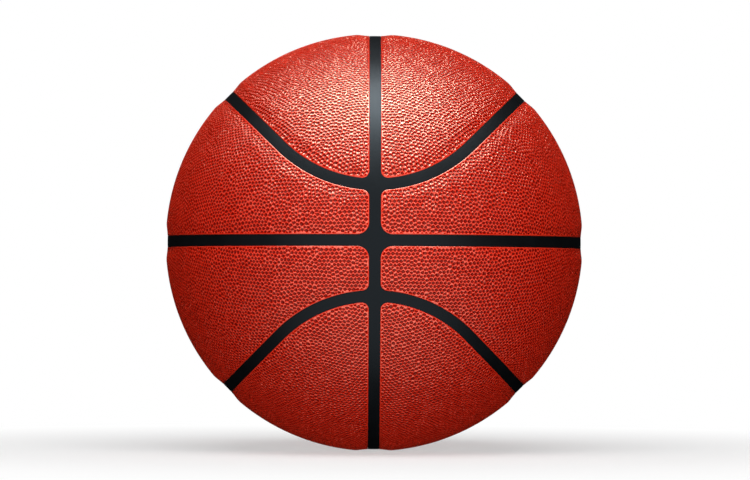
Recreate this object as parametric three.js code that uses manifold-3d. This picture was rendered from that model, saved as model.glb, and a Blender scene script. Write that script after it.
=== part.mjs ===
// Laminated basketball, size 7, in millimetres.
// The centre of the ball is the origin and +Z is up.
// The level seam lies in the plane z = 0 and the upright seam in the plane x = 0.
// Each curved seam is a V of two planes through the Y axis, rounded by an arc, cut along Y.
// The valve sits in the black channel where the two ring seams cross, on +Y.
import * as THREE from 'three';
import { mergeVertices } from 'three/addons/utils/BufferGeometryUtils.js';
import Module from 'manifold-3d';

// Outside of the ball
const BALL_DIAMETER = 240;
const CHANNEL_WIDTH = 6.4;
const CHANNEL_DEPTH = 1.1;

// Seam pattern
const SEAM_ANGLE = 45;
const SEAM_ARC_RADIUS = 74;
const CROSS_CORNER = 6.6;
const LOOP_CORNER = 4.0;

// Cover panels and the sponge backing under them
const PANEL_THICKNESS = 1.7;
const PANEL_EDGE_STEP = 0.1;
const PANEL_ROLL = 8.0;
const BACKING_THICKNESS = 1.4;

// Inner shells
const CARCASS_WALL = 1.1;
const WINDING_THICKNESS = 0.6;
const BLADDER_THICKNESS = 0.8;

// Valve
const NECK_DIAMETER = 11.0;
const FLANGE_DIAMETER = 24.0;
const FLANGE_THICKNESS = 1.2;
const BOSS_DIAMETER = 12.0;
const BOSS_LENGTH = 17.0;
const VALVE_RECESS = 0.5;
const PLUG_HEAD_DIAMETER = 7.6;
const PLUG_HEAD_HEIGHT = 2.4;
const PLUG_STEM_DIAMETER = 5.6;
const PLUG_LENGTH = 22.0;
const PLUG_TIP_DIAMETER = 3.6;
const PLUG_TIP_LENGTH = 3.0;
const NEEDLE_BORE = 1.8;
const NEEDLE_DEPTH = 17.0;

// Clearances
const EDGE_CLEARANCE = 0.3;
const LAYER_CLEARANCE = 0.3;
const VALVE_CLEARANCE = 0.3;

// Fineness of the curved faces
const LAYER_DETAIL = 4;
const COVER_DETAIL = 10;
const ARC_STEPS = 3;
const LATHE_STEPS = 20;

// Radii of the layers, from the outside in
const crownRadius = BALL_DIAMETER / 2;
const floorRadius = crownRadius - CHANNEL_DEPTH;
const panelInner = crownRadius - PANEL_THICKNESS;
const backingOuter = panelInner - LAYER_CLEARANCE;
const backingInner = backingOuter - BACKING_THICKNESS;
const pocketFloor = backingInner - LAYER_CLEARANCE;
const carcassInner = pocketFloor - CARCASS_WALL;
const windingOuter = carcassInner - LAYER_CLEARANCE;
const windingInner = windingOuter - WINDING_THICKNESS;
const bladderOuter = windingInner - LAYER_CLEARANCE;
const bladderInner = bladderOuter - BLADDER_THICKNESS;
const outside = crownRadius * 1.25;

// The curved seam in the XZ plane: the arc's centre is on the Z axis
const seamTilt = THREE.MathUtils.degToRad(SEAM_ANGLE);
const arcCentre = SEAM_ARC_RADIUS / Math.sin(seamTilt);
const seamLine = new THREE.Vector2(Math.sin(seamTilt), Math.cos(seamTilt));

const wasm = await Module();
wasm.setup();

function toManifold(geometry) {
  const bare = geometry.clone();
  bare.deleteAttribute('normal');
  bare.deleteAttribute('uv');
  const merged = mergeVertices(bare, 1e-4);
  const mesh = new wasm.Mesh({
    numProp: 3,
    vertProperties: new Float32Array(merged.attributes.position.array),
    triVerts: new Uint32Array(merged.index.array),
  });
  return new wasm.Manifold(mesh);
}

function toGeometry(solid) {
  const mesh = solid.getMesh();
  const geometry = new THREE.BufferGeometry();
  geometry.setAttribute('position', new THREE.BufferAttribute(new Float32Array(mesh.vertProperties), 3));
  geometry.setIndex(new THREE.BufferAttribute(new Uint32Array(mesh.triVerts), 1));
  return geometry;
}

function ball(radius, detail) {
  return toManifold(new THREE.IcosahedronGeometry(radius, detail));
}

// The share of a faceted ball's radius at which its flattest facet lies
function facetShare(detail) {
  const position = new THREE.IcosahedronGeometry(1, detail).attributes.position;
  const corners = [new THREE.Vector3(), new THREE.Vector3(), new THREE.Vector3()];
  const plane = new THREE.Plane();
  let share = 1;
  for (let i = 0; i < position.count; i += 3) {
    corners.forEach((corner, k) => corner.fromBufferAttribute(position, i + k));
    plane.setFromCoplanarPoints(corners[0], corners[1], corners[2]);
    share = Math.min(share, Math.abs(plane.constant));
  }
  return share;
}

function shell(outerRadius, outerDetail, innerRadius) {
  return ball(outerRadius, outerDetail).subtract(ball(innerRadius, LAYER_DETAIL));
}

// A straight pin along Y from the inside of the ball to outside it
function valveHole(diameter) {
  const pin = new THREE.CylinderGeometry(diameter / 2, diameter / 2, outside, LATHE_STEPS);
  pin.translate(0, outside / 2 + crownRadius / 2, 0);
  return toManifold(pin);
}

// Outline of a cap in the XZ plane, its edges set off from the seam lines by the given distance
function capOutline(offset) {
  const radius = SEAM_ARC_RADIUS - offset;
  const fx = offset + LOOP_CORNER;
  const fz = arcCentre - Math.sqrt((radius - LOOP_CORNER) ** 2 - fx ** 2);
  const meet = Math.atan2(fz - arcCentre, fx);
  const tx = radius * Math.cos(seamTilt);
  const tz = arcCentre - radius * Math.sin(seamTilt);
  const path = new THREE.Path();
  path.moveTo(offset, outside);
  path.lineTo(offset, fz);
  path.absarc(fx, fz, LOOP_CORNER, Math.PI, 2 * Math.PI + meet, false);
  path.absarc(0, arcCentre, radius, meet, -seamTilt, false);
  path.lineTo(tx + outside * seamLine.x, tz + outside * seamLine.y);
  path.lineTo(tx + outside * seamLine.x, tz + outside);
  return path.getPoints(ARC_STEPS);
}

// Outline of a band in the XZ plane, its edges set off from the seam lines by the given distance
function bandOutline(offset) {
  const radius = SEAM_ARC_RADIUS + offset;
  const fx = offset + LOOP_CORNER;
  const fz = arcCentre - Math.sqrt((radius + LOOP_CORNER) ** 2 - fx ** 2);
  const meet = Math.atan2(fz - arcCentre, fx);
  const tx = radius * Math.cos(seamTilt);
  const tz = arcCentre - radius * Math.sin(seamTilt);
  const corner = offset + CROSS_CORNER;
  const path = new THREE.Path();
  path.moveTo(outside, offset);
  path.lineTo(outside + outside * seamLine.x, tz + outside * seamLine.y);
  path.lineTo(tx + outside * seamLine.x, tz + outside * seamLine.y);
  path.lineTo(tx, tz);
  path.absarc(0, arcCentre, radius, -seamTilt, meet, true);
  path.absarc(fx, fz, LOOP_CORNER, meet + Math.PI, Math.PI, false);
  path.lineTo(offset, corner);
  path.absarc(corner, corner, CROSS_CORNER, Math.PI, 1.5 * Math.PI, false);
  return path.getPoints(ARC_STEPS);
}

// An outline cut right through the ball along Y, in one quarter of the XZ plane
function prism(outline, signX, signZ) {
  const shape = new THREE.Shape(outline.map((p) => new THREE.Vector2(p.x * signX, p.y * signZ)));
  const geometry = new THREE.ExtrudeGeometry(shape, { depth: 2 * outside, bevelEnabled: false });
  geometry.translate(0, 0, -outside);
  geometry.rotateX(Math.PI / 2);
  return toManifold(geometry);
}

// Distance from the curved seam's centre line, positive on the cap's side
function seamDistance(x, z) {
  const rise = z - arcCentre;
  if (x * seamLine.x + rise * seamLine.y < 0) {
    return SEAM_ARC_RADIUS - Math.hypot(x, rise);
  }
  return z * seamLine.x - x * seamLine.y;
}

// The smaller of two edge distances, with the corner between the edges rounded
function roundedMin(a, b, radius) {
  if (a < radius && b < radius) {
    return radius - Math.hypot(radius - a, radius - b);
  }
  return Math.min(a, b);
}

function capInset(x, z) {
  const half = CHANNEL_WIDTH / 2;
  return roundedMin(x - half, seamDistance(x, z) - half, LOOP_CORNER);
}

function bandInset(x, z) {
  const half = CHANNEL_WIDTH / 2;
  const side = roundedMin(x - half, -seamDistance(x, z) - half, LOOP_CORNER);
  return roundedMin(side, z - half, CROSS_CORNER);
}

// Lower the outer face of a panel to the channel over the width of its rolled edge
function rollEdges(geometry, inset) {
  const position = geometry.attributes.position;
  const point = new THREE.Vector3();
  const edgeRadius = floorRadius + PANEL_EDGE_STEP;
  const middle = (crownRadius + panelInner) / 2;
  for (let i = 0; i < position.count; i += 1) {
    point.fromBufferAttribute(position, i);
    if (point.length() > middle) {
      const share = THREE.MathUtils.smoothstep(inset(Math.abs(point.x), Math.abs(point.z)), 0, PANEL_ROLL);
      point.multiplyScalar(1 - (1 - share) * (crownRadius - edgeRadius) / crownRadius);
      position.setXYZ(i, point.x, point.y, point.z);
    }
  }
  return geometry;
}

// Materials
const leather = new THREE.MeshStandardMaterial({ color: 0xbe3e26, roughness: 0.55 });
const sponge = new THREE.MeshStandardMaterial({ color: 0x4a4a4d, roughness: 0.95 });
const blackRubber = new THREE.MeshStandardMaterial({ color: 0x1c1e21, roughness: 0.6 });
const nylon = new THREE.MeshStandardMaterial({ color: 0xd9d4c6, roughness: 0.7 });
const butyl = new THREE.MeshStandardMaterial({ color: 0x26272a, roughness: 0.5 });
const valveRubber = new THREE.MeshStandardMaterial({ color: 0x141517, roughness: 0.5 });

const group = new THREE.Group();

function addNode(name, geometry, material) {
  const mesh = new THREE.Mesh(geometry, material);
  mesh.name = name;
  group.add(mesh);
}

const quarters = [
  { place: 'upper_left', signX: -1, signZ: 1 },
  { place: 'upper_right', signX: 1, signZ: 1 },
  { place: 'lower_left', signX: -1, signZ: -1 },
  { place: 'lower_right', signX: 1, signZ: -1 },
];
const kinds = [
  { kind: 'cap', outline: capOutline, inset: capInset },
  { kind: 'band', outline: bandOutline, inset: bandInset },
];

// Panels and their backings, and the pockets that take them in the carcass
const panelShell = shell(crownRadius, COVER_DETAIL, panelInner);
const backingShell = shell(backingOuter, LAYER_DETAIL, backingInner);
const pocketShell = shell(outside, LAYER_DETAIL, pocketFloor);
const half = CHANNEL_WIDTH / 2;
let carcass = ball(floorRadius, COVER_DETAIL);
for (const { kind, outline, inset } of kinds) {
  for (const { place, signX, signZ } of quarters) {
    const panel = panelShell.intersect(prism(outline(half), signX, signZ));
    addNode(`${kind}_panel_${place}`, rollEdges(toGeometry(panel), inset), leather);
    const backing = backingShell.intersect(prism(outline(half), signX, signZ));
    addNode(`${kind}_backing_${place}`, toGeometry(backing), sponge);
    const pocket = pocketShell.intersect(prism(outline(half - EDGE_CLEARANCE), signX, signZ));
    carcass = carcass.subtract(pocket);
  }
}

// Inner shells, each open at the valve
const neckHole = valveHole(NECK_DIAMETER + 2 * VALVE_CLEARANCE);
carcass = carcass.subtract(ball(carcassInner, LAYER_DETAIL)).subtract(neckHole);
addNode('rubber_carcass', toGeometry(carcass), blackRubber);
const winding = shell(windingOuter, LAYER_DETAIL, windingInner).subtract(neckHole);
addNode('nylon_winding', toGeometry(winding), nylon);
const bladder = shell(bladderOuter, LAYER_DETAIL, bladderInner).subtract(neckHole);
addNode('bladder', toGeometry(bladder), butyl);

// Valve housing: neck, flange under the bladder wall and boss, with a stepped bore
const faceY = floorRadius - VALVE_RECESS;
const wallInside = bladderInner * facetShare(LAYER_DETAIL);
const flangeTop = Math.sqrt(wallInside ** 2 - (FLANGE_DIAMETER / 2) ** 2) - LAYER_CLEARANCE;
const flangeBottom = flangeTop - FLANGE_THICKNESS;
const bossEnd = flangeBottom - BOSS_LENGTH;
const seatY = faceY - PLUG_HEAD_HEIGHT - VALVE_CLEARANCE;
const headBore = PLUG_HEAD_DIAMETER / 2 + VALVE_CLEARANCE;
const stemBore = PLUG_STEM_DIAMETER / 2 + VALVE_CLEARANCE;
const housingProfile = [
  new THREE.Vector2(stemBore, bossEnd),
  new THREE.Vector2(BOSS_DIAMETER / 2, bossEnd),
  new THREE.Vector2(BOSS_DIAMETER / 2, flangeBottom),
  new THREE.Vector2(FLANGE_DIAMETER / 2, flangeBottom),
  new THREE.Vector2(FLANGE_DIAMETER / 2, flangeTop),
  new THREE.Vector2(NECK_DIAMETER / 2, flangeTop),
  new THREE.Vector2(NECK_DIAMETER / 2, faceY),
  new THREE.Vector2(headBore, faceY),
  new THREE.Vector2(headBore, seatY),
  new THREE.Vector2(stemBore, seatY),
  new THREE.Vector2(stemBore, bossEnd),
];
addNode('valve_housing', new THREE.LatheGeometry(housingProfile, LATHE_STEPS), valveRubber);

// Valve plug: flat head, stem with a tapered tip and a blind needle channel
const plugEnd = faceY - PLUG_LENGTH;
const plugProfile = [
  new THREE.Vector2(0, plugEnd),
  new THREE.Vector2(PLUG_TIP_DIAMETER / 2, plugEnd),
  new THREE.Vector2(PLUG_STEM_DIAMETER / 2, plugEnd + PLUG_TIP_LENGTH),
  new THREE.Vector2(PLUG_STEM_DIAMETER / 2, faceY - PLUG_HEAD_HEIGHT),
  new THREE.Vector2(PLUG_HEAD_DIAMETER / 2, faceY - PLUG_HEAD_HEIGHT),
  new THREE.Vector2(PLUG_HEAD_DIAMETER / 2, faceY),
  new THREE.Vector2(NEEDLE_BORE / 2, faceY),
  new THREE.Vector2(NEEDLE_BORE / 2, faceY - NEEDLE_DEPTH),
  new THREE.Vector2(0, faceY - NEEDLE_DEPTH),
];
addNode('valve_plug', new THREE.LatheGeometry(plugProfile, LATHE_STEPS), valveRubber);

export default group;
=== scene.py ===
"""Laminated basketball of size 7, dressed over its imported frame.

The ball's centre is the origin, +Z is up and the camera looks along +Y. The pieces and finishes
hold their sizes in millimetres, and MM turns them into the scene's metres. The studio holds metres.
"""

import logging
import math
from dataclasses import dataclass, field
from enum import Enum
from functools import partial

import bmesh
import bpy
import numpy as np
from mathutils import Matrix, Vector
from mathutils.geometry import delaunay_2d_cdt

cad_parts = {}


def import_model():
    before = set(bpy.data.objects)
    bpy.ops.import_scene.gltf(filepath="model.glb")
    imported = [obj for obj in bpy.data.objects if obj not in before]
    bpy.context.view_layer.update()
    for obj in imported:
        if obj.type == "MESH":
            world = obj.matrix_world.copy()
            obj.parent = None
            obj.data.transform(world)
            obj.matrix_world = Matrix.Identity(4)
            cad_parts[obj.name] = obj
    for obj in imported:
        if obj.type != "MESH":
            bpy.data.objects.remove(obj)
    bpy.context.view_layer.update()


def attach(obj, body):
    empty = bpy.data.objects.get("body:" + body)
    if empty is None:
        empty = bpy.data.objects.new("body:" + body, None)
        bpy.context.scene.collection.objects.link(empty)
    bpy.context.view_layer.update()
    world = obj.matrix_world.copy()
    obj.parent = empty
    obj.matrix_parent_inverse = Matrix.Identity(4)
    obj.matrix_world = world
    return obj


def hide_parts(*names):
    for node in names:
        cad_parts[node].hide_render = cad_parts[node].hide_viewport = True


MM = 0.001
# Distances below this count as none.
WELD = 1e-7
# How many sides a round piece has.
SIDES = 64
# An edge that turns by less than this is shaded smooth.
CREASE = math.radians(35)
log = logging.getLogger("basketball")


def linear(code: str) -> tuple[float, float, float, float]:
    """Turn an sRGB hex colour into linear RGBA.

    Args:
        code: Six hex digits, such as "c23c20".

    Returns:
        The linear colour with an alpha of 1.
    """
    parts = [int(code[i : i + 2], 16) / 255 for i in (0, 2, 4)]
    red, green, blue = (c / 12.92 if c <= 0.04045 else ((c + 0.055) / 1.055) ** 2.4 for c in parts)
    return red, green, blue, 1.0


def per_metre(size: float) -> float:
    """Give a texture scale for a feature of the given size in millimetres."""
    return 1.0 / (size * MM)


def set_inputs(tree: bpy.types.NodeTree, node: bpy.types.Node, inputs: dict) -> None:
    """Set or link a node's inputs.

    Args:
        tree: The node tree.
        node: The node.
        inputs: Values for its inputs, by name or number; a socket as value is linked.
    """
    for name, value in inputs.items():
        if isinstance(value, bpy.types.NodeSocket):
            tree.links.new(value, node.inputs[name])
        else:
            node.inputs[name].default_value = value


def add_node(
    tree: bpy.types.NodeTree, kind: str, inputs: dict | None = None, **settings: str
) -> bpy.types.Node:
    """Add a node with its settings and links.

    Args:
        tree: The node tree to add to.
        kind: The node's type name.
        inputs: Values for its inputs, as in set_inputs.
        settings: Properties of the node.

    Returns:
        The new node.
    """
    node = tree.nodes.new(kind)
    for name, value in settings.items():
        setattr(node, name, value)
    set_inputs(tree, node, inputs or {})
    return node


def smooth(value: np.ndarray, low: float, high: float) -> np.ndarray:
    """Ease from 0 at low to 1 at high with level ends."""
    share = np.clip((value - low) / (high - low), 0.0, 1.0)
    return share * share * (3.0 - 2.0 * share)


class Kind(Enum):
    """The two shapes of cover panel, with the turn of their middle line about the Y axis."""

    CAP = ("cap", 22.5)
    BAND = ("band", 67.5)

    @property
    def word(self) -> str:
        """Give the word used in node names."""
        return self.value[0]

    @property
    def middle(self) -> float:
        """Give the angle of the panel's middle line from +Z, in radians."""
        return math.radians(self.value[1])


class Quarter(Enum):
    """The four quarters of the ball as the camera sees it."""

    UPPER_LEFT = ("upper_left", -1, 1)
    UPPER_RIGHT = ("upper_right", 1, 1)
    LOWER_LEFT = ("lower_left", -1, -1)
    LOWER_RIGHT = ("lower_right", 1, -1)

    @property
    def word(self) -> str:
        """Give the word used in node names."""
        return self.value[0]

    @property
    def signs(self) -> np.ndarray:
        """Give the signs that turn the upper right quarter into this one."""
        return np.array([self.value[1], 1.0, self.value[2]])

    @property
    def mirrored(self) -> bool:
        """Tell whether those signs turn a mesh inside out."""
        return self.value[1] * self.value[2] < 0


@dataclass(frozen=True)
class Wall:
    """Radii of the ball's layers, from the outside in."""

    crown: float = 120.0
    channel_floor: float = 118.9
    panel_edge: float = 119.0
    panel_inner: float = 118.3
    backing_outer: float = 118.0
    backing_inner: float = 116.6
    pocket_floor: float = 116.3
    carcass_inner: float = 115.2
    winding_outer: float = 114.9
    winding_inner: float = 114.3
    bladder_outer: float = 114.0
    bladder_inner: float = 113.2


@dataclass(frozen=True)
class SeamPattern:
    """Lines of the seams, drawn in the XZ plane and cut through the ball along Y."""

    channel: float = 6.4
    angle: float = math.radians(45.0)
    arc_radius: float = 74.0
    cross_corner: float = 6.6
    loop_corner: float = 4.0
    line_points: int = 400
    arc_points: int = 200

    @property
    def arc_centre(self) -> float:
        """Give the height of the curved seam's arc centre on the Z axis."""
        return self.arc_radius / math.sin(self.angle)

    def loop_distance(self, x: np.ndarray, z: np.ndarray) -> np.ndarray:
        """Measure from the curved seam's centre line, positive on the cap's side.

        Args:
            x: Distances from the upright seam.
            z: Distances from the level seam.

        Returns:
            The signed distances.
        """
        rise = z - self.arc_centre
        along = x * math.sin(self.angle) + rise * math.cos(self.angle)
        on_arc = self.arc_radius - np.hypot(x, rise)
        on_line = z * math.sin(self.angle) - x * math.cos(self.angle)
        return np.where(along < 0, on_arc, on_line)

    def inset(self, kind: Kind, x: np.ndarray, z: np.ndarray) -> np.ndarray:
        """Measure how far inside its panel's edge a point is.

        Args:
            kind: The shape of panel.
            x: Distances from the upright seam.
            z: Distances from the level seam.

        Returns:
            The distances from the edge, positive inside.
        """
        half = self.channel / 2
        side = self.loop_distance(x, z) if kind is Kind.CAP else -self.loop_distance(x, z)
        found = self._rounded(x - half, side - half, self.loop_corner)
        if kind is Kind.BAND:
            found = self._rounded(found, z - half, self.cross_corner)
        return found

    @staticmethod
    def _rounded(a: np.ndarray, b: np.ndarray, radius: float) -> np.ndarray:
        """Take the smaller of two edge distances, with their corner rounded."""
        corner = radius - np.hypot(np.maximum(radius - a, 0), np.maximum(radius - b, 0))
        return np.where((a < radius) & (b < radius), corner, np.minimum(a, b))

    def outline(self, kind: Kind, offset: float, radius: float, step: float) -> np.ndarray:
        """Draw a panel's closed outline in the upper right quarter.

        Args:
            kind: The shape of panel.
            offset: Distance of its edges from the seams' centre lines.
            radius: Radius of the sphere that the outline lies on.
            step: Distance between points.

        Returns:
            Points in order round the panel, one row each.
        """
        sine, cosine = math.sin(self.angle), math.cos(self.angle)
        inside = self.arc_radius - offset if kind is Kind.CAP else self.arc_radius + offset
        reach = inside - self.loop_corner if kind is Kind.CAP else inside + self.loop_corner
        fx = offset + self.loop_corner
        fz = self.arc_centre - math.sqrt(reach**2 - fx**2)
        meet = math.atan2(fz - self.arc_centre, fx)
        tangent = np.array([inside * cosine, self.arc_centre - inside * sine])
        upright = (np.array([1.0, 0.0]), np.array([0.0, 1.0]))
        level = (np.array([0.0, 1.0]), np.array([1.0, 0.0]))
        turn = -1.0 if kind is Kind.CAP else 1.0
        slant = (turn * np.array([cosine, -sine]), np.array([sine, cosine]))
        if kind is Kind.CAP:
            parts = [
                self._straight(upright, offset, radius, None, fz),
                self._arc(fx, fz, self.loop_corner, math.pi, 2 * math.pi + meet, radius),
                self._arc(0, self.arc_centre, inside, meet, -self.angle, radius),
            ]
        else:
            corner = offset + self.cross_corner
            parts = [
                self._straight(level, offset, radius, None, corner),
                self._arc(corner, corner, self.cross_corner, 1.5 * math.pi, math.pi, radius),
                self._straight(upright, offset, radius, corner, fz),
                self._arc(fx, fz, self.loop_corner, math.pi, meet + math.pi, radius),
                self._arc(0, self.arc_centre, inside, meet, -self.angle, radius),
            ]
        parts.append(self._straight(slant, offset, radius, float(tangent @ slant[1]), None))
        front = np.concatenate(parts)
        back = front[::-1] * np.array([1.0, -1.0, 1.0])
        return self._spaced(np.concatenate([front, back]), step)

    def _straight(
        self,
        line: tuple[np.ndarray, np.ndarray],
        offset: float,
        radius: float,
        start: float | None,
        end: float | None,
    ) -> np.ndarray:
        """Follow a flat cut through the sphere.

        Args:
            line: Direction of the cut's offset, and direction along the cut.
            offset: Distance of the cut from the sphere's centre.
            radius: Radius of the sphere.
            start: Distance along the cut to start at, None being the ball's side.
            end: Distance along the cut to end at, in the same way.

        Returns:
            Points on the front of the sphere, one row each.
        """
        normal, along = line
        ring = math.sqrt(radius**2 - offset**2)
        turns = [math.pi / 2 if stop is None else math.asin(stop / ring) for stop in (start, end)]
        steps = np.linspace(*turns, self.line_points)[:, None]
        flat = offset * normal + ring * np.sin(steps) * along
        return np.column_stack([flat[:, 0], -ring * np.cos(steps)[:, 0], flat[:, 1]])

    def _arc(
        self, x: float, z: float, size: float, start: float, end: float, radius: float
    ) -> np.ndarray:
        """Follow an arc of the XZ plane on the front of the sphere.

        Args:
            x: Sideways place of the arc's centre.
            z: Height of the arc's centre.
            size: Radius of the arc.
            start: Angle to start at.
            end: Angle to end at.
            radius: Radius of the sphere.

        Returns:
            Points on the sphere, one row each.
        """
        turns = np.linspace(start, end, self.arc_points)
        px, pz = x + size * np.cos(turns), z + size * np.sin(turns)
        return np.column_stack([px, -np.sqrt(radius**2 - px**2 - pz**2), pz])

    @staticmethod
    def _spaced(points: np.ndarray, step: float) -> np.ndarray:
        """Space the points of a closed line evenly.

        Args:
            points: Points in order along the line.
            step: Distance between the new points, about.

        Returns:
            The new points.
        """
        closed = np.concatenate([points, points[:1]])
        lengths = np.concatenate([[0.0], np.cumsum(np.linalg.norm(np.diff(closed, axis=0), axis=1))])
        count = int(round(lengths[-1] / step))
        places = np.linspace(0, lengths[-1], count, endpoint=False)
        return np.column_stack([np.interp(places, lengths, closed[:, i]) for i in range(3)])


@dataclass(frozen=True)
class PanelPlane:
    """Flat drawing plane of a panel, rolled out along the panel's middle line."""

    kind: Kind
    radius: float = 119.5

    @property
    def axes(self) -> np.ndarray:
        """Give the three directions: to the front, along the middle line and across it."""
        sine, cosine = math.sin(self.kind.middle), math.cos(self.kind.middle)
        return np.array([[0.0, -1.0, 0.0], [sine, 0.0, cosine], [cosine, 0.0, -sine]])

    def flatten(self, points: np.ndarray) -> np.ndarray:
        """Roll points of the ball out flat.

        Args:
            points: Rows of x, y and z at any radius.

        Returns:
            Rows of distance along and across the middle line.
        """
        local = points @ self.axes.T
        local /= np.linalg.norm(local, axis=1)[:, None]
        along = np.arctan2(local[:, 1], local[:, 0])
        return self.radius * np.column_stack([along, np.arcsin(local[:, 2])])

    def directions(self, flat: np.ndarray) -> np.ndarray:
        """Bend flat points back onto the ball.

        Args:
            flat: Rows of distance along and across the middle line.

        Returns:
            Unit directions from the ball's centre.
        """
        along, across = flat[:, 0] / self.radius, flat[:, 1] / self.radius
        parts = [np.cos(across) * np.cos(along), np.cos(across) * np.sin(along), np.sin(across)]
        return np.column_stack(parts) @ self.axes


def triangulate(flat: np.ndarray, rim: int) -> np.ndarray:
    """Join flat points into triangles inside their rim.

    A triangle between three rim points lies inside only if it turns the way that the rim does.

    Args:
        flat: Points, the first of them in order round the rim.
        rim: How many points the rim has.

    Returns:
        Three point numbers for each triangle.
    """
    found = delaunay_2d_cdt([Vector(p) for p in flat], [], [list(range(rim))], 1, WELD, False)
    if len(found[0]) != len(flat):
        raise ValueError("two points of a panel coincide")
    faces = np.sort(np.array(found[2], dtype=np.int64), axis=1)
    a, b, c = (flat[faces[:, i]] for i in range(3))
    turned = (b - a)[:, 0] * (c - a)[:, 1] - (b - a)[:, 1] * (c - a)[:, 0]
    ahead = np.roll(flat[:rim], -1, axis=0)
    way = np.sum(flat[:rim, 0] * ahead[:, 1] - ahead[:, 0] * flat[:rim, 1])
    return faces[(faces >= rim).any(axis=1) | (turned * way > 0)]


def facing(faces: np.ndarray, points: np.ndarray, outward: bool) -> np.ndarray:
    """Turn triangles so that they all face one way.

    Args:
        faces: Three point numbers for each triangle.
        points: The points.
        outward: Whether they are to face away from the ball's centre or towards it.

    Returns:
        The turned triangles.
    """
    a, b, c = (points[faces[:, i]] for i in range(3))
    out = np.einsum("ij,ij->i", np.cross(b - a, c - a), a) > 0
    return np.where((out == outward)[:, None], faces, faces[:, ::-1])


def honeycomb(rim: np.ndarray, pitch: float, turn: float = 0.0, spare: float = 4.0) -> np.ndarray:
    """Lay a honeycomb of points over the box round a flat outline.

    Args:
        rim: Points of the outline.
        pitch: Distance between neighbours.
        turn: Turn of the rows, in radians.
        spare: How far beyond the box points are kept, in pitches.

    Returns:
        The points.
    """
    low, high = rim.min(axis=0), rim.max(axis=0)
    middle, half = (low + high) / 2, np.linalg.norm(high - low) / 2
    rows = np.arange(-half, half, pitch * math.sqrt(3) / 2)
    columns = np.arange(-half, half, pitch)
    u, v = np.meshgrid(columns, rows)
    u = u + np.where(np.arange(len(rows)) % 2, pitch / 2, 0.0)[:, None]
    points = np.column_stack([u.ravel(), v.ravel()])
    turned = points @ np.array([[math.cos(turn), math.sin(turn)], [-math.sin(turn), math.cos(turn)]])
    turned += middle
    border = spare * pitch
    return turned[np.all((turned > low - border) & (turned < high + border), axis=1)]


def select_only(piece: bpy.types.Object) -> None:
    """Deselect everything, then select one piece and make it active.

    Args:
        piece: The piece.
    """
    bpy.ops.object.select_all(action="DESELECT")
    piece.select_set(True)
    bpy.context.view_layer.objects.active = piece


def shade(piece: bpy.types.Object, crease: float = CREASE) -> None:
    """Shade a piece smooth, apart from edges sharper than the crease."""
    select_only(piece)
    bpy.ops.object.shade_smooth_by_angle(angle=crease)


def mesh_piece(
    name: str, points: np.ndarray, faces: np.ndarray, quarter: Quarter
) -> bpy.types.Object:
    """Make a smooth-shaded piece in one quarter of the ball.

    Args:
        name: Name of the piece.
        points: Its points in the upper right quarter, in millimetres.
        faces: Three point numbers for each triangle.
        quarter: The quarter that it is for.

    Returns:
        The new object, at the origin.
    """
    mesh = bpy.data.meshes.new(name)
    order = faces[:, ::-1] if quarter.mirrored else faces
    mesh.from_pydata((points * quarter.signs * MM).tolist(), [], order.tolist())
    mesh.update()
    piece = bpy.data.objects.new(name, mesh)
    bpy.context.collection.objects.link(piece)
    select_only(piece)
    bpy.ops.object.shade_smooth()
    return piece


def cut(piece: bpy.types.Object, cutter: bpy.types.Object) -> None:
    """Cut one solid out of another.

    Args:
        piece: The solid that is cut.
        cutter: The solid that is taken out of it, deleted afterwards.
    """
    select_only(piece)
    modifier = piece.modifiers.new("cut", "BOOLEAN")
    modifier.operation = "DIFFERENCE"
    modifier.solver = "MANIFOLD"
    modifier.object = cutter
    bpy.ops.object.modifier_apply(modifier=modifier.name)
    bpy.data.objects.remove(cutter, do_unlink=True)


def round_pin(radius: float, low: float, high: float) -> bpy.types.Object:
    """Add a round pin along Y.

    Args:
        radius: Its radius in millimetres.
        low: Where it starts on Y.
        high: Where it ends on Y.

    Returns:
        The pin.
    """
    bpy.ops.object.select_all(action="DESELECT")
    bpy.ops.mesh.primitive_cylinder_add(
        vertices=SIDES,
        radius=radius * MM,
        depth=(high - low) * MM,
        location=(0, (low + high) / 2 * MM, 0),
        rotation=(math.pi / 2, 0, 0),
    )
    bpy.ops.object.transform_apply(location=True, rotation=True, scale=True)
    return bpy.context.object


def ball_piece(name: str, radius: float, halvings: int) -> bpy.types.Object:
    """Add an even ball of triangles.

    Args:
        name: Its name.
        radius: Its radius in millimetres.
        halvings: How fine it is, as Blender counts subdivisions.

    Returns:
        The ball.
    """
    bpy.ops.object.select_all(action="DESELECT")
    bpy.ops.mesh.primitive_ico_sphere_add(subdivisions=halvings, radius=radius * MM)
    piece = bpy.context.object
    piece.name = name
    return piece


@dataclass(frozen=True)
class Finish:
    """A named surface finish."""

    name: str
    slot: str

    def material(self) -> bpy.types.Material:
        """Make the material, or give the one made before.

        Returns:
            The material with its nodes.
        """
        found = bpy.data.materials.get(self.name)
        if found:
            return found
        material = bpy.data.materials.new(self.name)
        material.use_nodes = True
        tree = material.node_tree
        set_inputs(tree, tree.nodes["Principled BSDF"], self.paint(tree))
        return material

    def paint(self, tree: bpy.types.NodeTree) -> dict:
        """Add the textures, and give the values for the shader's inputs."""
        raise NotImplementedError

    def fit(self, piece: bpy.types.Object, body: str, node: str) -> None:
        """Put the finish on a piece, and put the piece in place of a node of the frame.

        Args:
            piece: The piece.
            body: The body that it rides on.
            node: The node that it stands in for.
        """
        piece.data.materials.clear()
        piece.data.materials.append(self.material())
        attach(piece, body)
        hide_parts(node)
        log.info("%s: %d faces", piece.name, len(piece.data.polygons))


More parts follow.
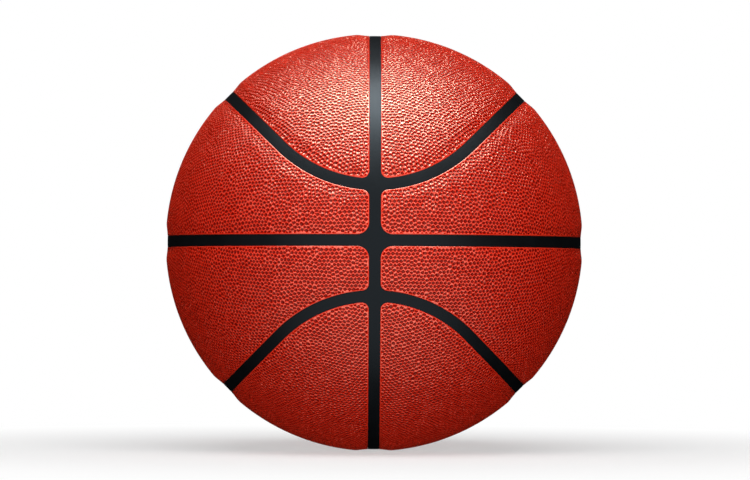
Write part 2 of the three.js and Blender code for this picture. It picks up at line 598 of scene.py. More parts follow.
@dataclass(frozen=True)
class CompositeLeather(Finish):
    """Polyurethane composite leather, embossed with a raised net round oval pits.

    The net has an even warm dye and a clear gloss. The floors of the pits are painted a deep dull
    red as painted shade, standing in for the shade that falls in the pits, so that the grain reads
    as dark ovals in a paler net. The pores are drawn coarser than real ones, so that they show.

    Attributes:
        crest: Dye of the net.
        crest_warm: Dye of the net where it is warmest.
        pit_shade: Painted shade for the floors of the pits, a deep dull red.
        sheen: Tint of the gloss.
        index: Index of refraction, set above that of plain polyurethane to match the gloss.
        blush: Size of the warmer patches.
        pore: Size of the pores.
        pore_depth: Depth of the pores.
        pore_strength: Share of that depth that shows.
        pit_shade_span: Heights between which the painted shade of the floors gives way to the dye.
        evened: Heights between which the roughness does.
        dulled: Heights between which the gloss of the floors ends.
        polished: Heights between which the gloss of the net begins.
        pit_rough: Roughness of the pits.
        net_rough: Roughness of the net.
        pit_gloss: Gloss of the floors of the pits.
        mean_gloss: Mean gloss, for a viewer that can't follow the height.
    """

    name: str = "pebbled_composite_leather"
    slot: str = "cover_leather"
    crest: str = "dc2813"
    crest_warm: str = "e22e17"
    # Painted shade: the floors of the pits are darker than the leather's dye.
    pit_shade: str = "700000"
    sheen: str = "ffe8cc"
    index: float = 1.75
    blush: float = 35.0
    pore: float = 0.6
    pore_depth: float = 0.05
    pore_strength: float = 0.35
    pit_shade_span: tuple[float, float] = (0.3, 0.8)
    evened: tuple[float, float] = (0.5, 0.95)
    dulled: tuple[float, float] = (0.08, 0.25)
    polished: tuple[float, float] = (0.86, 0.92)
    pit_rough: float = 0.3
    net_rough: float = 0.32
    pit_gloss: float = 0.2
    mean_gloss: float = 0.5

    def paint(self, tree: bpy.types.NodeTree) -> dict:
        """Add the textures that follow the height on the embossing.

        Args:
            tree: The material's node tree.

        Returns:
            Values for the shader's inputs.
        """
        add = partial(add_node, tree)
        place = add("ShaderNodeTexCoord").outputs["Object"]
        blush = add(
            "ShaderNodeTexNoise", {"Vector": place, "Scale": per_metre(self.blush), "Detail": 3.0}
        )
        pores = add("ShaderNodeTexNoise", {"Vector": place, "Scale": per_metre(self.pore)})
        height = add("ShaderNodeAttribute", attribute_name="pebble").outputs["Fac"]
        shade_mix, rough, floor, net = (
            add(
                "ShaderNodeMapRange",
                {"Value": height, "From Min": low, "From Max": high, "To Min": start, "To Max": end},
            ).outputs["Result"]
            for (low, high), start, end in (
                (self.pit_shade_span, 0.0, 1.0),
                (self.evened, self.pit_rough, self.net_rough),
                (self.dulled, self.pit_gloss, 0.0),
                (self.polished, 0.0, 1.0),
            )
        )
        dye = add(
            "ShaderNodeMix",
            {0: blush.outputs["Fac"], 6: linear(self.crest), 7: linear(self.crest_warm)},
            data_type="RGBA",
        )
        # Painted shade: low on the embossing, the net's dye gives way to the dark pit colour.
        colour = add(
            "ShaderNodeMix", {0: shade_mix, 6: linear(self.pit_shade), 7: dye.outputs[2]}, data_type="RGBA"
        )
        gloss = add("ShaderNodeMath", {0: floor, 1: net}, operation="MAXIMUM")
        bump = add(
            "ShaderNodeBump",
            {
                "Strength": self.pore_strength,
                "Distance": self.pore_depth * MM,
                "Height": pores.outputs["Fac"],
            },
        )
        tree.nodes["Principled BSDF"].inputs["Specular IOR Level"].default_value = self.mean_gloss
        return {
            "Base Color": colour.outputs[2],
            "Roughness": rough,
            "Normal": bump.outputs["Normal"],
            "IOR": self.index,
            "Specular Tint": linear(self.sheen),
            "Specular IOR Level": gloss.outputs["Value"],
        }


@dataclass(frozen=True)
class MouldedRubber(Finish):
    """Black vulcanised rubber, satin from the mould, with a cold sheen and a fine even grain.

    The grain is drawn coarser than the real one, so that it shows.
    """

    name: str = "black_moulded_rubber"
    slot: str = "carcass_rubber"
    black: str = "060607"
    grey: str = "0c0d0f"
    tint: str = "d7f0ff"
    roughness: float = 0.45
    uneven: float = 0.06
    gloss: float = 0.155
    bloom: float = 14.0
    grit: float = 0.7
    grit_depth: float = 0.05
    grit_strength: float = 0.3

    def paint(self, tree: bpy.types.NodeTree) -> dict:
        """Add the textures.

        Args:
            tree: The material's node tree.

        Returns:
            Values for the shader's inputs.
        """
        add = partial(add_node, tree)
        place = add("ShaderNodeTexCoord").outputs["Object"]
        bloom = add(
            "ShaderNodeTexNoise", {"Vector": place, "Scale": per_metre(self.bloom), "Detail": 4.0}
        ).outputs["Fac"]
        grit = add("ShaderNodeTexNoise", {"Vector": place, "Scale": per_metre(self.grit)})
        colour = add(
            "ShaderNodeMix", {0: bloom, 6: linear(self.black), 7: linear(self.grey)}, data_type="RGBA"
        )
        low, high = self.roughness - self.uneven, self.roughness + self.uneven
        rough = add("ShaderNodeMapRange", {"Value": bloom, "To Min": low, "To Max": high})
        bump = add(
            "ShaderNodeBump",
            {
                "Strength": self.grit_strength,
                "Distance": self.grit_depth * MM,
                "Height": grit.outputs["Fac"],
            },
        )
        return {
            "Base Color": colour.outputs[2],
            "Roughness": rough.outputs["Result"],
            "Normal": bump.outputs["Normal"],
            "Specular IOR Level": self.gloss,
            "Specular Tint": linear(self.tint),
        }


@dataclass(frozen=True)
class SpongeRubber(Finish):
    """Open sponge rubber, dull and full of cells about a millimetre across."""

    name: str = "sponge_rubber"
    slot: str = "sponge_rubber"
    skin: str = "515154"
    # Painted shade: the hollows of the cells are darker than the rubber's skin.
    hollow_shade: str = "2c2c2f"
    cell: float = 1.1
    cell_depth: float = 0.3
    cell_strength: float = 0.8
    roughness: float = 0.95

    def paint(self, tree: bpy.types.NodeTree) -> dict:
        """Add the textures.

        Args:
            tree: The material's node tree.

        Returns:
            Values for the shader's inputs.
        """
        add = partial(add_node, tree)
        place = add("ShaderNodeTexCoord").outputs["Object"]
        cells = add("ShaderNodeTexVoronoi", {"Vector": place, "Scale": per_metre(self.cell)})
        height = cells.outputs["Distance"]
        # Painted shade: the colour darkens where the cells sink.
        colour = add(
            "ShaderNodeMix", {0: height, 6: linear(self.hollow_shade), 7: linear(self.skin)}, data_type="RGBA"
        )
        bump = add(
            "ShaderNodeBump",
            {"Strength": self.cell_strength, "Distance": self.cell_depth * MM, "Height": height},
        )
        return {
            "Base Color": colour.outputs[2],
            "Normal": bump.outputs["Normal"],
            "Roughness": self.roughness,
        }


@dataclass(frozen=True)
class NylonThread(Finish):
    """Nylon thread wound over itself in many directions and glued, with a slight lustre.

    The thread is drawn coarser than the real one, so that it shows.
    """

    name: str = "wound_nylon_thread"
    slot: str = "nylon_thread"
    thread: str = "e2ddcf"
    # Painted shade: the gaps between the threads are darker than the thread.
    gap_shade: str = "a79f8c"
    spacing: float = 5.655
    waviness: float = 0.6
    turns: tuple[tuple[float, float, float], ...] = ((0.3, 0.9, 0.2), (1.2, 0.1, 0.8), (0.7, 2.1, 1.4))
    depth: float = 0.2
    strength: float = 0.7
    roughness: float = 0.55

    def paint(self, tree: bpy.types.NodeTree) -> dict:
        """Add the textures.

        Args:
            tree: The material's node tree.

        Returns:
            Values for the shader's inputs.
        """
        add = partial(add_node, tree)
        place = add("ShaderNodeTexCoord").outputs["Object"]
        # A wave texture at a scale of 1 has 20 / 2 pi waves in a metre.
        scale = per_metre(self.spacing) * math.tau / 20
        layers = []
        for turn in self.turns:
            turned = add("ShaderNodeMapping", {"Vector": place, "Rotation": turn}).outputs["Vector"]
            wave = add(
                "ShaderNodeTexWave", {"Vector": turned, "Scale": scale, "Distortion": self.waviness}
            )
            layers.append(wave.outputs["Fac"])
        height = layers[0]
        for layer in layers[1:]:
            height = add("ShaderNodeMath", {0: height, 1: layer}, operation="MAXIMUM").outputs["Value"]
        # Painted shade: the colour darkens in the low gaps between the threads.
        colour = add(
            "ShaderNodeMix", {0: height, 6: linear(self.gap_shade), 7: linear(self.thread)}, data_type="RGBA"
        )
        bump = add(
            "ShaderNodeBump", {"Strength": self.strength, "Distance": self.depth * MM, "Height": height}
        )
        return {
            "Base Color": colour.outputs[2],
            "Normal": bump.outputs["Normal"],
            "Roughness": self.roughness,
        }


@dataclass(frozen=True)
class ButylRubber(Finish):
    """Smooth butyl rubber sheet, dark, with a faint bloom of dusting powder."""

    name: str = "butyl_rubber"
    slot: str = "butyl_rubber"
    dark: str = "232427"
    dust: str = "3a3b3f"
    cloud: float = 18.0
    clean_rough: float = 0.4
    dusty_rough: float = 0.7

    def paint(self, tree: bpy.types.NodeTree) -> dict:
        """Add the textures.

        Args:
            tree: The material's node tree.

        Returns:
            Values for the shader's inputs.
        """
        add = partial(add_node, tree)
        place = add("ShaderNodeTexCoord").outputs["Object"]
        dusting = add(
            "ShaderNodeTexNoise", {"Vector": place, "Scale": per_metre(self.cloud), "Detail": 6.0}
        ).outputs["Fac"]
        colour = add(
            "ShaderNodeMix", {0: dusting, 6: linear(self.dark), 7: linear(self.dust)}, data_type="RGBA"
        )
        rough = add(
            "ShaderNodeMapRange",
            {"Value": dusting, "To Min": self.clean_rough, "To Max": self.dusty_rough},
        )
        return {"Base Color": colour.outputs[2], "Roughness": rough.outputs["Result"]}


@dataclass
class Ball:
    """What the pieces of the ball share.

    Attributes:
        wall: Radii of the layers.
        seams: Lines of the seams.
        edge_gap: Gap between a panel and the ribs beside it.
        neck_hole: Radius of the hole for the valve's neck.
        neck_span: Where the cutter for that hole starts and ends on Y.
        room: How far the points inside a patch keep from its edge, in pitches.
    """

    wall: Wall = field(default_factory=Wall)
    seams: SeamPattern = field(default_factory=SeamPattern)
    edge_gap: float = 0.1
    neck_hole: float = 5.8
    neck_span: tuple[float, float] = (90.0, 130.0)
    room: float = 0.45

    def inset(self, plane: PanelPlane, flat: np.ndarray) -> np.ndarray:
        """Measure how far inside their panel's edge flat points are."""
        places = plane.directions(flat) * self.wall.panel_edge
        return self.seams.inset(plane.kind, places[:, 0], places[:, 2])

    def open_neck(self, piece: bpy.types.Object) -> None:
        """Cut the hole for the valve's neck, then shade the piece smooth."""
        cut(piece, round_pin(self.neck_hole, *self.neck_span))
        shade(piece)

    def patch(
        self, kind: Kind, offset: float, low: float, high: float, step: float, pitch: float
    ) -> tuple[np.ndarray, np.ndarray]:
        """Make a plain closed patch of the ball's wall in the upper right quarter.

        Args:
            kind: The shape of panel that it follows.
            offset: Distance of its edges from the seams' centre lines.
            low: Inner radius.
            high: Outer radius.
            step: Distance between points of the rim.
            pitch: Distance between points inside.

        Returns:
            Its points and triangles.
        """
        plane = PanelPlane(kind)
        rim = self.seams.outline(kind, offset, self.wall.panel_edge, step)
        flat_rim = plane.flatten(rim)
        fill = honeycomb(flat_rim, pitch)
        inset = self.inset(plane, fill) + self.seams.channel / 2 - offset
        fill = fill[inset > pitch * self.room]
        flat = np.concatenate([flat_rim, fill])
        ways = plane.directions(flat)
        faces = triangulate(flat, len(rim))
        points = np.concatenate([ways * high, ways * low])
        return points, self.closed(faces, points, len(rim), len(flat), faces)

    @staticmethod
    def closed(
        top: np.ndarray, points: np.ndarray, rim: int, shift: int, under: np.ndarray
    ) -> np.ndarray:
        """Close a patch with its underside and the wall round its rim.

        Args:
            top: Triangles of the outer face.
            points: Points of the outer face, then those of the underside.
            rim: How many points each rim has.
            shift: Where the underside's points start.
            under: Triangles of the underside, numbered from its own first point.

        Returns:
            All triangles, facing out of the patch.
        """
        here = np.arange(rim)
        after = (here + 1) % rim
        wall = np.concatenate(
            [
                np.column_stack([here, here + shift, after]),
                np.column_stack([after, here + shift, after + shift]),
            ]
        )
        middle = points[:rim].mean(axis=0)
        a, b, c = (points[wall[:, i]] for i in range(3))
        normals = np.cross(b - a, c - a)
        away = np.einsum("ij,ij->i", normals, (a + b + c) / 3 - middle).sum() > 0
        if not away:
            wall = wall[:, ::-1]
        return np.concatenate(
            [facing(top, points, True), facing(under + shift, points, False), wall]
        )


@dataclass
class CoverPanels:
    """The eight cover panels of embossed composite leather.

    Each is a thin patch whose edge rolls down to the channel. Its embossing is a raised net round
    oval pits, all of about one size but unevenly set. The mesh is laid out flat, joined into
    triangles there and bent onto the ball. Heights on the embossing go from 0 in the middle of a
    pit to 1 on the net.

    Attributes:
        ball: What the pieces share.
        finish: The leather.
        pitch: Distance between pits.
        relief: Depth of a pit.
        ridge: Height of the net between two pits.
        uneven_ridge: Spread of the net's heights.
        rim: How far a pit's rim is from its middle, as a share of the way to the next pit's.
        rim_height: Height of the rim, as a share of the ridge beside it.
        bowl: How far a pit's floor reaches, as a share of the same way.
        bowl_height: Height of the floor's edge.
        spread: Spread of the sizes of the pits.
        wide: Stretch of a pit sideways.
        low: Stretch of a pit upwards.
        plain: Height of the plain border of a panel.
        jitter: How far a pit strays from an even layout, as a share of the pitch.
        rounds: How often the pits are then spaced out again.
        turn: Turn of the even layout.
        roll: Width over which a panel's edge rolls down to the channel.
        lip: Width of the turned edge.
        lip_drop: Depth of the turned edge.
        rows: How far inside a panel's outline the two rows of points beside it are.
        margin: Width of the plain border.
        fade: Distances from the edge between which the embossing comes up.
        sink: Distances from the edge between which its depth does.
        rim_step: Distance between points of a panel's outline.
        under_pitch: Distance between points of the underside.
        under_room: How far those keep from the outline, in their own pitches.
        longest: Longest way between neighbouring pits, in pitches.
        sizes: Least and greatest size of a pit.
        reaches: Least and greatest reach of a pit towards a neighbour.
        ridges: Least and greatest height of the net between two pits.
        corners: Least and greatest height of the net between three pits.
        seed: Number that the first panel's unevenness starts from.
    """

    ball: Ball
    finish: CompositeLeather = field(default_factory=CompositeLeather)
    pitch: float = 2.3
    relief: float = 0.5
    ridge: float = 0.965
    uneven_ridge: float = 0.02
    rim: float = 0.82
    rim_height: float = 0.985
    bowl: float = 0.66
    bowl_height: float = 0.15
    spread: float = 0.05
    wide: float = 1.2
    low: float = 0.8
    plain: float = 0.89
    jitter: float = 0.22
    rounds: int = 2
    turn: float = math.radians(22.5)
    roll: float = 8.0
    lip: float = 0.5
    lip_drop: float = 0.3
    rows: tuple[float, float] = (0.17, 0.42)
    margin: float = 0.75
    fade: tuple[float, float] = (0.1, 1.4)
    sink: tuple[float, float] = (0.2, 1.6)
    rim_step: float = 0.8
    under_pitch: float = 9.0
    under_room: float = 0.4
    longest: float = 2.2
    sizes: tuple[float, float] = (0.75, 1.2)
    reaches: tuple[float, float] = (0.7, 1.12)
    ridges: tuple[float, float] = (0.5, 1.0)
    corners: tuple[float, float] = (0.85, 1.15)
    seed: int = 71

    def build(self) -> list[bpy.types.Object]:
        """Build all eight panels.

        Returns:
            The panels, riding on the ball.
        """
        made = []
        for number, (kind, quarter) in enumerate((k, q) for k in Kind for q in Quarter):
            made.append(self._panel(kind, quarter, np.random.default_rng(self.seed + number)))
        return made

    def _panel(self, kind: Kind, quarter: Quarter, dice: np.random.Generator) -> bpy.types.Object:
        """Build one panel.

        Args:
            kind: Its shape.
            quarter: Its place.
            dice: Source of the pits' unevenness.

        Returns:
            The panel.
        """
        ball, plane = self.ball, PanelPlane(kind)
        rim = ball.seams.outline(kind, ball.seams.channel / 2, ball.wall.panel_edge, self.rim_step)
        flat_rim = plane.flatten(rim)
        rows = [self._inward(flat_rim, depth) for depth in self.rows]
        spots, heights, rims = self._embossing(plane, flat_rim, dice)
        flat = np.concatenate([flat_rim, *rows, spots])
        level = np.concatenate([np.full(len(flat) - len(spots), self.plain), heights])
        inset = np.maximum(ball.inset(plane, flat), 0.0)
        top = plane.directions(flat) * self._radius(inset, level)[:, None]
        under_flat = self._underside(plane, flat_rim)
        under = plane.directions(under_flat) * ball.wall.panel_inner
        points = np.concatenate([top, under])
        faces = ball.closed(
            triangulate(flat, len(rim)), points, len(rim), len(top), triangulate(under_flat, len(rim))
        )
        piece = mesh_piece(f"pebbled_{kind.word}_{quarter.word}", points, faces, quarter)
        spare = len(points) - len(level)
        before = len(level) - len(spots)
        self._crease(piece, np.pad(level, (0, spare), mode="edge"), np.pad(rims, (before, spare)))
        self.finish.fit(piece, "ball", f"{kind.word}_panel_{quarter.word}")
        return piece

    @staticmethod
    def _crease(piece: bpy.types.Object, level: np.ndarray, rims: np.ndarray) -> None:
        """Keep the heights for the finish, and crease the rims of the pits.

        Args:
            piece: The panel.
            level: Heights on the embossing.
            rims: Whether each point is on a pit's rim.
        """
        mesh = piece.data
        height = mesh.attributes.new("pebble", "FLOAT", "POINT")
        height.data.foreach_set("value", level)
        ends = np.empty(len(mesh.edges) * 2, dtype=np.int32)
        mesh.edges.foreach_get("vertices", ends)
        creased = rims[ends.reshape(-1, 2)].all(axis=1)
        sharp = mesh.attributes.new("sharp_edge", "BOOLEAN", "EDGE")
        sharp.data.foreach_set("value", creased)

    @staticmethod
    def _inward(rim: np.ndarray, depth: float) -> np.ndarray:
        """Move a flat closed line inwards.

        Args:
            rim: Points in order along the line.
            depth: How far to move them.

        Returns:
            The moved points.
        """
        along = np.roll(rim, -1, axis=0) - np.roll(rim, 1, axis=0)
        along /= np.linalg.norm(along, axis=1)[:, None]
        side = np.column_stack([-along[:, 1], along[:, 0]])
        ahead = np.roll(rim, -1, axis=0)
        area = np.sum(rim[:, 0] * ahead[:, 1] - ahead[:, 0] * rim[:, 1])
        return rim + side * depth * np.sign(area)

    def _underside(self, plane: PanelPlane, rim: np.ndarray) -> np.ndarray:
        """Lay out the plain underside of a panel.

        Args:
            plane: Its drawing plane.
            rim: Its flat outline.

        Returns:
            Flat points, those of the outline first.
        """
        fill = honeycomb(rim, self.under_pitch)
        inside = self.ball.inset(plane, fill) > self.under_pitch * self.under_room
        return np.concatenate([rim, fill[inside]])

    def _embossing(
        self, plane: PanelPlane, rim: np.ndarray, dice: np.random.Generator
    ) -> tuple[np.ndarray, np.ndarray, np.ndarray]:
        """Lay out the pits of a panel and the net between them.

        Args:
            plane: Its drawing plane.
            rim: Its flat outline.
            dice: Source of unevenness.

        Returns:
            Flat points, the height of each, and whether it is on a pit's rim.
        """
        seeds = self._scatter(rim, dice)
        cells = self._cells(seeds)
        sides = np.concatenate([cells[:, [0, 1]], cells[:, [1, 2]], cells[:, [2, 0]]])
        sides = np.unique(np.sort(sides, axis=1), axis=0)
        between = seeds[sides].mean(axis=1)
        corner = seeds[cells].mean(axis=1)
        size = np.clip(dice.normal(1.0, self.spread, (len(seeds), 1)), *self.sizes)
        tall = np.clip(dice.normal(1.0, self.uneven_ridge, len(corner)), *self.corners)
        ridge = np.clip(dice.normal(self.ridge, self.uneven_ridge, len(sides)), *self.ridges)
        points = [seeds, between, corner]
        heights = [0.0, ridge, tall]
        rims = [False, False, False]
        for i in range(2):
            pit = seeds[sides[:, i]]
            uneven = dice.normal(1.0, self.spread, (len(sides), 1))
            reach = np.clip(size[sides[:, i]] * uneven, *self.reaches)
            reach = reach * self._oval(between - pit, plane.kind)
            points += [pit + self.rim * reach, pit + self.bowl * reach]
            heights += [self.rim_height * ridge, self.bowl_height]
            rims += [True, False]
        heights = np.concatenate([np.broadcast_to(h, len(p)) for h, p in zip(heights, points)])
        rims = np.concatenate([np.full(len(p), r) for r, p in zip(rims, points)])
        points = np.concatenate(points)
        inset = self.ball.inset(plane, points)
        keep = inset > self.margin
        fade = smooth(inset[keep], *self.fade)
        return points[keep], self.plain + (heights[keep] - self.plain) * fade, rims[keep]

    def _oval(self, reach: np.ndarray, kind: Kind) -> np.ndarray:
        """Stretch flat steps sideways and shorten them upwards, as seen from the front.

        Args:
            reach: The steps, one row each.
            kind: The shape of panel that they are on.

        Returns:
            The new steps.
        """
        side = np.array([math.sin(kind.middle), math.cos(kind.middle)])
        across = (reach @ side)[:, None] * side
        return across * self.wide + (reach - across) * self.low

    def _scatter(self, rim: np.ndarray, dice: np.random.Generator) -> np.ndarray:
        """Scatter the middles of the pits, close together but uneven.

        Args:
            rim: The panel's flat outline.
            dice: Source of unevenness.

        Returns:
            Flat points, some of them beyond the outline.
        """
        seeds = honeycomb(rim, self.pitch, self.turn)
        seeds = seeds + dice.normal(scale=self.jitter * self.pitch, size=seeds.shape)
        for _ in range(self.rounds):
            cells = self._cells(seeds)
            total, count = np.zeros_like(seeds), np.zeros(len(seeds))
            for i, j in ((0, 1), (1, 2), (2, 0), (1, 0), (2, 1), (0, 2)):
                np.add.at(total, cells[:, i], seeds[cells[:, j]])
                np.add.at(count, cells[:, i], 1.0)
            seeds = total[count > 0] / count[count > 0, None]
        return seeds

    def _cells(self, seeds: np.ndarray) -> np.ndarray:
        """Join each three neighbouring pits, leaving out long triangles at the border.

        Args:
            seeds: Middles of the pits.

        Returns:
            Three pit numbers for each triangle.
        """
        joined = delaunay_2d_cdt([Vector(p) for p in seeds], [], [], 0, WELD, False)
        cells = np.array(joined[2], dtype=np.int64)
        edges = seeds[cells] - seeds[np.roll(cells, 1, axis=1)]
        return cells[np.linalg.norm(edges, axis=2).max(axis=1) < self.longest * self.pitch]

    def _radius(self, inset: np.ndarray, level: np.ndarray) -> np.ndarray:
        """Give the radius of the outer face.

        Args:
            inset: Distances from the panel's edge.
            level: Heights on the embossing.

        Returns:
            The radii.
        """
        wall = self.ball.wall
        base = wall.panel_edge + (wall.crown - wall.panel_edge) * smooth(inset, 0.0, self.roll)
        edge = np.clip(1.0 - inset / self.lip, 0.0, 1.0)
        turned = self.lip_drop * (1.0 - np.sqrt(1.0 - edge**2))
        sunk = (1.0 - level) * self.relief * smooth(inset, *self.sink)
        return base - turned - sunk


@dataclass
class Backings:
    """The eight sponge rubber backings under the cover panels."""

    ball: Ball
    finish: SpongeRubber = field(default_factory=SpongeRubber)
    step: float = 2.4
    pitch: float = 5.0
    crease: float = math.radians(40)

    def build(self) -> list[bpy.types.Object]:
        """Build all eight backings.

        Returns:
            The backings, riding on the ball.
        """
        made = []
        span = self.ball.wall.backing_inner, self.ball.wall.backing_outer
        half = self.ball.seams.channel / 2
        for kind in Kind:
            points, faces = self.ball.patch(kind, half, *span, self.step, self.pitch)
            for quarter in Quarter:
                piece = mesh_piece(f"sponge_{kind.word}_{quarter.word}", points, faces, quarter)
                shade(piece, self.crease)
                self.finish.fit(piece, "ball", f"{kind.word}_backing_{quarter.word}")
                made.append(piece)
        return made


@dataclass
class Carcass:
    """The black rubber carcass, whose ribs stand between the panels as the ball's channels."""

    ball: Ball
    finish: MouldedRubber = field(default_factory=MouldedRubber)
    step: float = 1.0
    pitch: float = 6.0
    over: float = 2.0
    outer_halvings: int = 7
    inner_halvings: int = 5

    def build(self) -> bpy.types.Object:
        """Build the carcass.

        Returns:
            The carcass, riding on the ball.
        """
        wall = self.ball.wall
        piece = ball_piece("ribbed_carcass", wall.channel_floor, self.outer_halvings)
        cut(piece, ball_piece("inside", wall.carcass_inner, self.inner_halvings))
        span = wall.pocket_floor, wall.crown + self.over
        offset = self.ball.seams.channel / 2 - self.ball.edge_gap
        for kind in Kind:
            points, faces = self.ball.patch(kind, offset, *span, self.step, self.pitch)
            for quarter in Quarter:
                cut(piece, mesh_piece("pocket", points, faces, quarter))
        self.ball.open_neck(piece)
        self.finish.fit(piece, "ball", "rubber_carcass")
        return piece


@dataclass
class InnerShells:
    """The wound layer and the bladder inside the carcass, both open at the valve."""

    ball: Ball
    thread: NylonThread = field(default_factory=NylonThread)
    butyl: ButylRubber = field(default_factory=ButylRubber)
    halvings: int = 6

    def build(self) -> list[bpy.types.Object]:
        """Build both shells.

        Returns:
            The winding and the bladder, riding on the ball.
        """
        wall = self.ball.wall
        winding = self._shell("wound_layer", wall.winding_outer, wall.winding_inner)
        bladder = self._shell("inner_bladder", wall.bladder_outer, wall.bladder_inner)
        self.thread.fit(winding, "ball", "nylon_winding")
        self.butyl.fit(bladder, "ball", "bladder")
        return [winding, bladder]

    def _shell(self, name: str, outer: float, inner: float) -> bpy.types.Object:
        """Make a thin ball with a hole for the valve's neck.

        Args:
            name: Its name.
            outer: Its outer radius.
            inner: Its inner radius.

        Returns:
            The shell.
        """
        piece = ball_piece(name, outer, self.halvings)
        cut(piece, ball_piece("inside", inner, self.halvings))
        self.ball.open_neck(piece)
        return piece


@dataclass
class Valve:
    """The valve housing in the bladder and the plug that is pushed into it, both turned about Y.

    The face, both sides of the flange and the boss's end are given by their distances from the
    ball's centre. The neck, flange, boss, head, stem, tip and needle are given by their radii.
    """

    rubber: MouldedRubber = field(
        default_factory=lambda: MouldedRubber(
            name="black_valve_rubber", slot="valve_rubber", roughness=0.36
        )
    )
    plug_rubber: MouldedRubber = field(
        default_factory=lambda: MouldedRubber(
            name="grey_plug_rubber", slot="plug_rubber", black="17181b", grey="222427", roughness=0.4
        )
    )
    face: float = 118.4
    neck: float = 5.5
    flange: float = 12.0
    flange_top: float = 110.86
    flange_bottom: float = 109.66
    boss: float = 6.0
    boss_end: float = 92.66
    head: float = 3.8
    head_height: float = 2.4
    stem: float = 2.8
    tip: float = 1.8
    tip_length: float = 3.0
    length: float = 22.0
    needle: float = 0.9
    needle_depth: float = 17.0
    clearance: float = 0.3
    ease: float = 0.18
    ease_steps: int = 3
    ease_angle: float = math.radians(40)
    merge: float = 0.001

    def build(self) -> list[bpy.types.Object]:
        """Build the housing and the plug.

        Returns:
            The housing, riding on the ball, and the plug, riding on its own body.
        """
        seat = self.face - self.head_height - self.clearance
        bore, mouth = self.stem + self.clearance, self.head + self.clearance
        housing = self._turned(
            "valve_seat",
            [
                (bore, self.boss_end),
                (self.boss, self.boss_end),
                (self.boss, self.flange_bottom),
                (self.flange, self.flange_bottom),
                (self.flange, self.flange_top),
                (self.neck, self.flange_top),
                (self.neck, self.face),
                (mouth, self.face),
                (mouth, seat),
                (bore, seat),
            ],
            True,
        )
        end = self.face - self.length
        plug = self._turned(
            "needle_plug",
            [
                (0.0, end),
                (self.tip, end),
                (self.stem, end + self.tip_length),
                (self.stem, self.face - self.head_height),
                (self.head, self.face - self.head_height),
                (self.head, self.face),
                (self.needle, self.face),
                (self.needle, self.face - self.needle_depth),
                (0.0, self.face - self.needle_depth),
            ],
            False,
        )
        self.rubber.fit(housing, "ball", "valve_housing")
        self.plug_rubber.fit(plug, "plug", "valve_plug")
        return [housing, plug]

    def _turned(
        self, name: str, profile: list[tuple[float, float]], closed: bool
    ) -> bpy.types.Object:
        """Spin a profile about Y.

        Args:
            name: Name of the piece.
            profile: Radius and height of each point.
            closed: Whether the profile closes on itself.

        Returns:
            The turned piece, with eased edges.
        """
        bpy.ops.object.select_all(action="DESELECT")
        bpy.ops.mesh.primitive_circle_add(vertices=len(profile), radius=MM, fill_type="NOTHING")
        piece = bpy.context.object
        piece.name = name
        for vertex, (radius, height) in zip(piece.data.vertices, profile):
            vertex.co = (radius * MM, height * MM, 0.0)
        bpy.ops.object.mode_set(mode="EDIT")
        if not closed:
            mesh = bmesh.from_edit_mesh(piece.data)
            spare = [e for e in mesh.edges if all(v.co.x < WELD for v in e.verts)]
            bmesh.ops.delete(mesh, geom=spare, context="EDGES")
            bmesh.update_edit_mesh(piece.data)
        bpy.ops.mesh.select_all(action="SELECT")
        bpy.ops.mesh.spin(steps=SIDES, angle=math.tau, center=(0, 0, 0), axis=(0, 1, 0))
        bpy.ops.mesh.select_all(action="SELECT")
        bpy.ops.mesh.remove_doubles(threshold=self.merge * MM)
        bpy.ops.mesh.normals_make_consistent(inside=False)
        bpy.ops.object.mode_set(mode="OBJECT")
        modifier = piece.modifiers.new("eased", "BEVEL")
        modifier.width = self.ease * MM
        modifier.segments = self.ease_steps
        modifier.angle_limit = self.ease_angle
        bpy.ops.object.modifier_apply(modifier=modifier.name)
        shade(piece)
        return piece


@dataclass(frozen=True)
class Lamp:
    """A softbox that the camera doesn't see.

    Its place and size are in metres, its tilt from facing down in degrees, its power in watts.
    """

    name: str
    place: tuple[float, float, float]
    tilt: float
    size: tuple[float, float]
    power: float
    diffuse: bool = True
    glossy: bool = True

    def build(self) -> None:
        """Add the lamp to the scene."""
        turn = (math.radians(self.tilt), 0, 0)
        bpy.ops.object.light_add(type="AREA", location=self.place, rotation=turn)
        lamp = bpy.context.object
        lamp.name = self.name
        lamp.data.shape = "RECTANGLE"
        lamp.data.size, lamp.data.size_y = self.size
        lamp.data.energy = self.power
        lamp.visible_camera = False
        lamp.visible_diffuse = self.diffuse
        lamp.visible_glossy = self.glossy


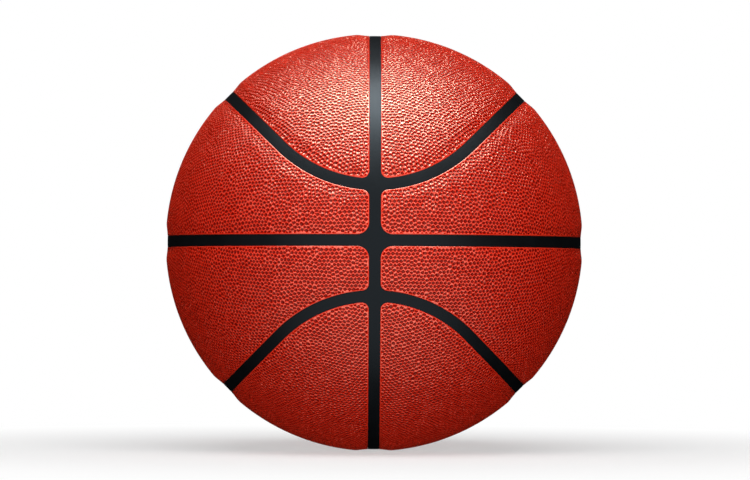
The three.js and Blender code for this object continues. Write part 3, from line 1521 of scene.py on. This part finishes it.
@dataclass
class Studio:
    """Plain pale floor, soft light and the camera.

    Its lengths are in metres, those of the picture in pixels and that of the sensor in millimetres.
    The shadow on the floor fades out between shadow_near and shadow_far, so that the picture's
    edges are white.
    """

    distance: float = 2.256
    rise: float = math.radians(-0.67)
    turn: float = math.radians(-0.21)
    roll: float = math.radians(0.25)
    focal: float = 3914.0
    width: int = 750
    height: int = 480
    centre: tuple[float, float] = (374.17, 242.6)
    sensor: float = 36.0
    view_end: float = 100.0
    lamps: tuple[Lamp, ...] = (
        Lamp("overhead_softbox", (0, -0.5, 0.98), 18, (1.15, 0.9), 10.6),
        Lamp("overhead_card", (0, -0.19, 1.1), 5, (1.2, 0.42), 40.0, diffuse=False),
        Lamp("front_softbox", (0, -2.6, -0.05), 91, (1.2, 1.2), 59.0, glossy=False),
        Lamp("back_softbox", (0, 2.6, -0.05), -91, (1.2, 1.2), 42.0, glossy=False),
        Lamp("front_card", (0, -2.23, -0.9), 112, (5.4, 5.7), 162.0, diffuse=False),
    )
    white: str = "ffffff"
    ambient: float = 0.02
    mirrored_ambient: float = 0.004
    floor_size: float = 8.0
    shadow_near: float = 0.15
    shadow_far: float = 0.45
    shadow: float = 0.5

    def build(self, floor: float) -> None:
        """Set up the whole studio.

        Args:
            floor: Height of the floor in metres.
        """
        self._floor(floor)
        self._world()
        for lamp in self.lamps:
            lamp.build()
        self._camera()
        bpy.context.scene.view_settings.view_transform = "Standard"

    def _world(self) -> None:
        """Set a low even light, less of it in gloss, with white behind for the camera alone."""
        world = bpy.data.worlds.new("studio")
        bpy.context.scene.world = world
        world.use_nodes = True
        tree = world.node_tree
        tree.nodes.clear()
        add = partial(add_node, tree)
        ray = add("ShaderNodeLightPath")
        low, dark, bright = (
            add("ShaderNodeBackground", {"Color": linear(self.white), "Strength": level}).outputs[0]
            for level in (self.ambient, self.mirrored_ambient, 1.0)
        )
        unseen = add("ShaderNodeMixShader", {0: ray.outputs["Is Glossy Ray"], 1: low, 2: dark})
        mixed = add(
            "ShaderNodeMixShader",
            {0: ray.outputs["Is Camera Ray"], 1: unseen.outputs[0], 2: bright},
        )
        add("ShaderNodeOutputWorld", {"Surface": mixed.outputs[0]})

    def _floor(self, height: float) -> None:
        """Lay a pale paper floor that shows the ball's shadow near it and white further off.

        Args:
            height: Its height in metres.
        """
        bpy.ops.object.select_all(action="DESELECT")
        bpy.ops.mesh.primitive_plane_add(size=self.floor_size, location=(0, 0, height))
        bpy.ops.object.transform_apply(location=True, rotation=True, scale=True)
        floor = bpy.context.object
        floor.name = "paper_floor"
        material = bpy.data.materials.new("pale_paper")
        material.use_nodes = True
        tree = material.node_tree
        tree.nodes.clear()
        add = partial(add_node, tree)
        place = add("ShaderNodeTexCoord").outputs["Object"]
        reach = add("ShaderNodeVectorMath", {0: place}, operation="LENGTH")
        near = add(
            "ShaderNodeMapRange",
            {
                "Value": reach.outputs["Value"],
                "From Min": self.shadow_near,
                "From Max": self.shadow_far,
                "To Min": self.shadow,
                "To Max": 0.0,
            },
            interpolation_type="SMOOTHSTEP",
        )
        paper = add("ShaderNodeBsdfDiffuse", {"Color": linear(self.white)})
        glow = add("ShaderNodeEmission", {"Color": linear(self.white), "Strength": 1.0})
        seen = add(
            "ShaderNodeMixShader",
            {0: near.outputs["Result"], 1: glow.outputs[0], 2: paper.outputs[0]},
        )
        add("ShaderNodeOutputMaterial", {"Surface": seen.outputs[0]})
        floor.data.materials.append(material)
        floor.visible_diffuse = False
        floor.visible_glossy = False
        floor.visible_shadow = False

    def _camera(self) -> None:
        """Place the camera where the photograph was taken from."""
        away = Vector(
            (
                math.sin(self.turn) * math.cos(self.rise),
                -math.cos(self.turn) * math.cos(self.rise),
                math.sin(self.rise),
            )
        )
        bpy.ops.object.camera_add(location=away * self.distance)
        camera = bpy.context.object
        aim = (-away).to_track_quat("-Z", "Y").to_matrix() @ Matrix.Rotation(self.roll, 3, "Z")
        camera.rotation_euler = aim.to_euler()
        camera.data.sensor_fit = "HORIZONTAL"
        camera.data.sensor_width = self.sensor
        camera.data.lens = self.focal / self.width * self.sensor
        camera.data.shift_x = (self.width / 2 - self.centre[0]) / self.width
        camera.data.shift_y = (self.centre[1] - self.height / 2) / self.width
        camera.data.clip_end = self.view_end
        bpy.context.scene.camera = camera


def main() -> None:
    """Build the ball and its studio in order."""
    logging.basicConfig(level=logging.INFO, format="%(name)s: %(message)s")
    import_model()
    ball = Ball()
    panels = CoverPanels(ball).build()
    Backings(ball).build()
    Carcass(ball).build()
    InnerShells(ball).build()
    Valve().build()
    lowest = min(min(v.co.z for v in panel.data.vertices) for panel in panels)
    Studio().build(lowest)


if __name__ == "__main__":
    main()
